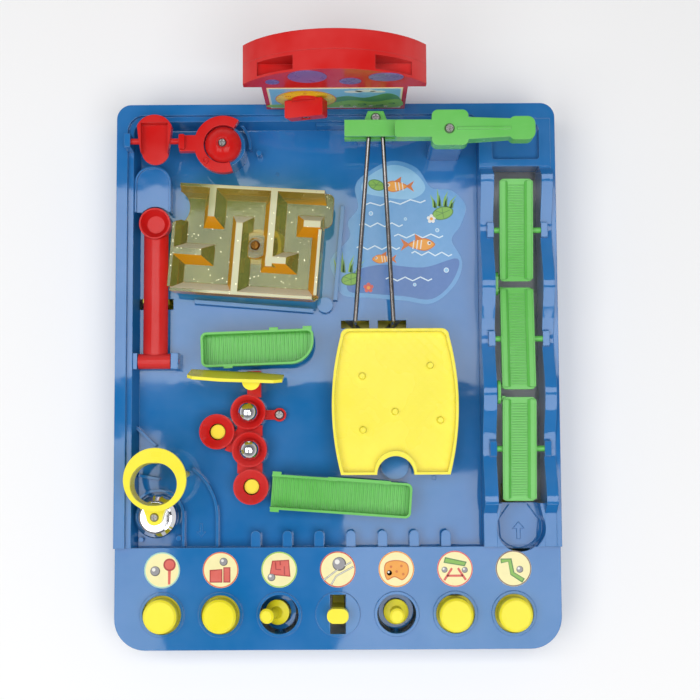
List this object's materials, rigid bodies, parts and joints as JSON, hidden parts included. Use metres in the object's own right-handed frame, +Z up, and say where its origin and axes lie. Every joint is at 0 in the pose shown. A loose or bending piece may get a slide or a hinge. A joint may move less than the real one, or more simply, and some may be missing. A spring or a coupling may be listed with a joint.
{
  "type": "ball obstacle course game",
  "caption": "Tabletop ball obstacle course: a moulded tray with tilting platforms, seesaws, rails, a catapult, a swing crane, popper cups, a bell and an arched timer.",
  "frame": {"origin": "centre of the tray's footprint, at the height of the surface that it stands on", "axes": "+X to the right, +Y to the back where the timer stands, +Z up"},
  "size_m": [0.3, 0.3921, 0.137],
  "materials": {
    "blue_plastic": "moulded, glossy",
    "green_plastic": "moulded, glossy",
    "yellow_plastic": "moulded, glossy",
    "red_plastic": "moulded, glossy",
    "amber_plastic": "clear amber plastic with glitter",
    "purple_plastic": "printed, glossy",
    "bright_steel": "polished",
    "screw_steel": "zinc plated",
    "magnet_black": "sintered magnet",
    "printed_paper": "printed label"
  },
  "bodies": {
    "tray": {"base_tray": "blue_plastic", "bell": "bright_steel", "hoop": "yellow_plastic", "popper_cups": "red_plastic", "deflector_plate": "yellow_plastic", "upper_chute": "green_plastic", "lower_chute": "green_plastic", "rail_carriage": "green_plastic", "dome_cap": "red_plastic", "collar_arm": "red_plastic", "timer_front_shell": "red_plastic", "timer_back_shell": "red_plastic", "deck_picture": "printed_paper", "printed_labels": "printed_paper", "case_screws": "screw_steel", "tray_fittings": "blue_plastic"},
    "button_1": {"button_cap_1": "yellow_plastic"},
    "lever_1": {"lever_1": "yellow_plastic"},
    "button_2": {"button_cap_2": "yellow_plastic"},
    "lever_2": {"lever_2": "yellow_plastic"},
    "button_6": {"button_cap_6": "yellow_plastic"},
    "lever_6": {"lever_6": "yellow_plastic"},
    "button_7": {"button_cap_7": "yellow_plastic"},
    "lever_7": {"lever_7": "yellow_plastic"},
    "catapult": {"catapult_arm": "red_plastic"},
    "popper": {"popper_plate": "yellow_plastic"},
    "ball_near": {"ball_1": "bright_steel"},
    "ball_far": {"ball_2": "bright_steel"},
    "yoke_3": {"yoke_3": "blue_plastic"},
    "stick_3": {"stick_3": "yellow_plastic"},
    "tie_carriage_3": {"tie_carriage_3": "yellow_plastic"},
    "tie_3": {"tie_3": "yellow_plastic"},
    "yoke_5": {"yoke_5": "blue_plastic"},
    "stick_5": {"stick_5": "yellow_plastic"},
    "tie_carriage_5": {"tie_carriage_5": "yellow_plastic"},
    "tie_5": {"tie_5": "yellow_plastic"},
    "maze_ring": {"maze_ring": "yellow_plastic"},
    "maze": {"maze": "amber_plastic", "maze_stem": "yellow_plastic", "maze_screw": "screw_steel"},
    "board_ring": {"board_ring": "yellow_plastic"},
    "board": {"board": "yellow_plastic", "board_stem": "yellow_plastic"},
    "slider": {"slider_4": "yellow_plastic"},
    "rail_left": {"rail_left": "bright_steel"},
    "rail_right": {"rail_right": "bright_steel"},
    "rack": {"crane_rack": "yellow_plastic"},
    "crane": {"crane_arm": "green_plastic", "crane_shaft": "green_plastic", "crane_magnet": "magnet_black", "crane_screw": "screw_steel"},
    "seesaw_1": {"seesaw_1": "green_plastic"},
    "seesaw_2": {"seesaw_2": "green_plastic"},
    "seesaw_3": {"seesaw_3": "green_plastic"},
    "link_1": {"link_1": "green_plastic"},
    "link_2": {"link_2": "green_plastic"},
    "timer_knob": {"timer_knob": "red_plastic", "timer_knob_screw": "screw_steel", "timer_arbor_gear": "yellow_plastic"},
    "tipping_chute": {"tipping_chute": "red_plastic"}
  },
  "joints": [
    {"name": "catapult_throw", "type": "hinge", "parent": "tray", "child": "catapult", "pos_m": [-0.1242, 0.009, 0.036], "axis": [1, 0, 0], "range_deg": [0, 75]},
    {"name": "lever_1_rock", "type": "hinge", "parent": "tray", "child": "lever_1", "pos_m": [-0.11805, -0.09, 0.01], "axis": [1, 0, 0], "range_deg": [0, 5.64]},
    {"name": "button_1_press", "type": "slide", "parent": "tray", "child": "button_1", "axis": [0, 0, -1], "range_m": [0, 0.00701]},
    {"name": "popper_lift", "type": "slide", "parent": "tray", "child": "popper", "axis": [0, 0, 1], "range_m": [0, 0.0082]},
    {"name": "lever_2_rock", "type": "hinge", "parent": "tray", "child": "lever_2", "pos_m": [-0.0787, -0.112, 0.01], "axis": [1, 0, 0], "range_deg": [0, 8.15]},
    {"name": "button_2_press", "type": "slide", "parent": "tray", "child": "button_2", "axis": [0, 0, -1], "range_m": [0, 0.00701]},
    {"name": "ball_near_rise", "type": "slide", "parent": "tray", "child": "ball_near", "axis": [0, 0, 1], "range_m": [0, 0.00821]},
    {"name": "ball_far_rise", "type": "slide", "parent": "tray", "child": "ball_far", "axis": [0, 0, 1], "range_m": [0, 0.00821]},
    {"name": "stick_3_sway", "type": "hinge", "parent": "tray", "child": "yoke_3", "pos_m": [-0.03935, -0.1615, 0.02], "axis": [0, 1, 0], "range_deg": [0, 32]},
    {"name": "stick_3_tip", "type": "hinge", "parent": "yoke_3", "child": "stick_3", "pos_m": [-0.03935, -0.1615, 0.02], "axis": [0.9613, 0, 0.2756], "range_deg": [-12, 12]},
    {"name": "tie_3_across", "type": "slide", "parent": "tray", "child": "tie_carriage_3", "axis": [1, 0, 0], "range_m": [-0.00829, 0]},
    {"name": "tie_3_along", "type": "slide", "parent": "tie_carriage_3", "child": "tie_3", "axis": [0, 1, 0], "range_m": [-0.00314, 0.00314]},
    {"name": "maze_sway", "type": "hinge", "parent": "tray", "child": "maze_ring", "pos_m": [-0.0537, 0.0864, 0.04], "axis": [0.0837, 0.9965, 0], "range_deg": [0, 13.58]},
    {"name": "maze_tip", "type": "hinge", "parent": "maze_ring", "child": "maze", "pos_m": [-0.0537, 0.0864, 0.04], "axis": [0.9895, -0.0831, 0.1181], "range_deg": [-5.13, 5.13]},
    {"name": "stick_5_sway", "type": "hinge", "parent": "tray", "child": "yoke_5", "pos_m": [0.03935, -0.1615, 0.02], "axis": [0, 1, 0], "range_deg": [-12, 12]},
    {"name": "stick_5_tip", "type": "hinge", "parent": "yoke_5", "child": "stick_5", "pos_m": [0.03935, -0.1615, 0.02], "axis": [1, 0, 0], "range_deg": [-12, 12]},
    {"name": "tie_5_across", "type": "slide", "parent": "tray", "child": "tie_carriage_5", "axis": [1, 0, 0], "range_m": [-0.00314, 0.00314]},
    {"name": "tie_5_along", "type": "slide", "parent": "tie_carriage_5", "child": "tie_5", "axis": [0, 1, 0], "range_m": [-0.00314, 0.00314]},
    {"name": "board_sway", "type": "hinge", "parent": "tray", "child": "board_ring", "pos_m": [0.0391, -0.02, 0.038], "axis": [0, 1, 0], "range_deg": [-5.44, 5.44]},
    {"name": "board_tip", "type": "hinge", "parent": "board_ring", "child": "board", "pos_m": [0.0391, -0.02, 0.038], "axis": [1, 0, 0], "range_deg": [-5.44, 5.44]},
    {"name": "slider_4_push", "type": "slide", "parent": "tray", "child": "slider", "axis": [0, 1, 0], "range_m": [-0.007, 0.007]},
    {"name": "rail_left_swing", "type": "hinge", "parent": "tray", "child": "rail_left", "pos_m": [0.0224, 0.1585, 0.069], "axis": [0, 0, 1], "range_deg": [-3.25, 3.25]},
    {"name": "rail_right_swing", "type": "hinge", "parent": "tray", "child": "rail_right", "pos_m": [0.0314, 0.1585, 0.069], "axis": [0, 0, 1], "range_deg": [-3.25, 3.25]},
    {"name": "crane_swing", "type": "hinge", "parent": "tray", "child": "crane", "pos_m": [0.0745, 0.1565, 0.08], "axis": [0, 0, -1], "range_deg": [0, 180]},
    {"name": "rack_push", "type": "slide", "parent": "tray", "child": "rack", "axis": [0, 1, 0], "range_m": [0, 0.00944]},
    {"name": "lever_6_rock", "type": "hinge", "parent": "tray", "child": "lever_6", "pos_m": [0.0787, -0.145, 0.026], "axis": [1, 0, 0], "range_deg": [0, 25.12]},
    {"name": "button_6_press", "type": "slide", "parent": "tray", "child": "button_6", "axis": [0, 0, -1], "range_m": [0, 0.00701]},
    {"name": "seesaw_3_rock", "type": "hinge", "parent": "tray", "child": "seesaw_3", "pos_m": [0.1219, -0.0515, 0.046], "axis": [1, 0, 0], "range_deg": [-10.6, 0]},
    {"name": "seesaw_2_rock", "type": "hinge", "parent": "tray", "child": "seesaw_2", "pos_m": [0.1219, 0.0225, 0.046], "axis": [1, 0, 0], "range_deg": [0, 10.62]},
    {"name": "seesaw_1_rock", "type": "hinge", "parent": "tray", "child": "seesaw_1", "pos_m": [0.1219, 0.0965, 0.046], "axis": [1, 0, 0], "range_deg": [-10.62, 0]},
    {"name": "link_1_rise", "type": "slide", "parent": "tray", "child": "link_1", "axis": [0, 0, 1], "range_m": [0, 0.00612]},
    {"name": "link_2_fall", "type": "slide", "parent": "tray", "child": "link_2", "axis": [0, 0, -1], "range_m": [0, 0.00612]},
    {"name": "lever_7_rock", "type": "hinge", "parent": "tray", "child": "lever_7", "pos_m": [0.11805, -0.115, 0.01], "axis": [1, 0, 0], "range_deg": [0, 8.68]},
    {"name": "button_7_press", "type": "slide", "parent": "tray", "child": "button_7", "axis": [0, 0, -1], "range_m": [0, 0.00701]},
    {"name": "timer_wind", "type": "hinge", "parent": "tray", "child": "timer_knob", "pos_m": [-0.0195, 0.1815, 0.071], "axis": [0, 1, 0], "range_deg": [0, 300]},
    {"name": "tipping_chute_tilt", "type": "hinge", "parent": "tray", "child": "tipping_chute", "pos_m": [-0.1223, 0.157, 0.055], "axis": [1, 0, 0], "range_deg": [0, 25]}
  ],
  "couplings": [
    {"joint": "lever_1_rock", "follows": "catapult_throw", "ratio": 0.074912},
    {"joint": "button_1_press", "follows": "catapult_throw", "m_per_rad": 0.0053476},
    {"joint": "lever_2_rock", "follows": "popper_lift", "rad_per_m": 17.304},
    {"joint": "button_2_press", "follows": "popper_lift", "ratio": 0.85366},
    {"joint": "ball_near_rise", "follows": "popper_lift", "ratio": 1},
    {"joint": "ball_far_rise", "follows": "popper_lift", "ratio": 1},
    {"joint": "tie_3_across", "follows": "stick_3_sway", "m_per_rad": -0.014806},
    {"joint": "tie_3_along", "follows": "stick_3_tip", "m_per_rad": 0.014891},
    {"joint": "maze_sway", "follows": "stick_3_sway", "ratio": 0.42375},
    {"joint": "maze_tip", "follows": "stick_3_tip", "ratio": 0.42601},
    {"joint": "tie_5_across", "follows": "stick_5_sway", "m_per_rad": -0.014891},
    {"joint": "tie_5_along", "follows": "stick_5_tip", "m_per_rad": 0.014891},
    {"joint": "board_sway", "follows": "stick_5_sway", "ratio": 0.4519},
    {"joint": "board_tip", "follows": "stick_5_tip", "ratio": 0.4519},
    {"joint": "rail_left_swing", "follows": "slider_4_push", "rad_per_m": 8.0645},
    {"joint": "rail_right_swing", "follows": "slider_4_push", "rad_per_m": -8.0645},
    {"joint": "rack_push", "follows": "crane_swing", "m_per_rad": 0.0029976},
    {"joint": "lever_6_rock", "follows": "crane_swing", "ratio": 0.13944},
    {"joint": "button_6_press", "follows": "crane_swing", "m_per_rad": 0.0022282},
    {"joint": "seesaw_2_rock", "follows": "seesaw_3_rock", "ratio": -1},
    {"joint": "seesaw_1_rock", "follows": "seesaw_3_rock", "ratio": 1},
    {"joint": "link_1_rise", "follows": "seesaw_3_rock", "m_per_rad": -0.032953},
    {"joint": "link_2_fall", "follows": "seesaw_3_rock", "m_per_rad": -0.032953},
    {"joint": "lever_7_rock", "follows": "seesaw_3_rock", "ratio": -0.8168},
    {"joint": "button_7_press", "follows": "seesaw_3_rock", "m_per_rad": -0.037837}
  ]
}
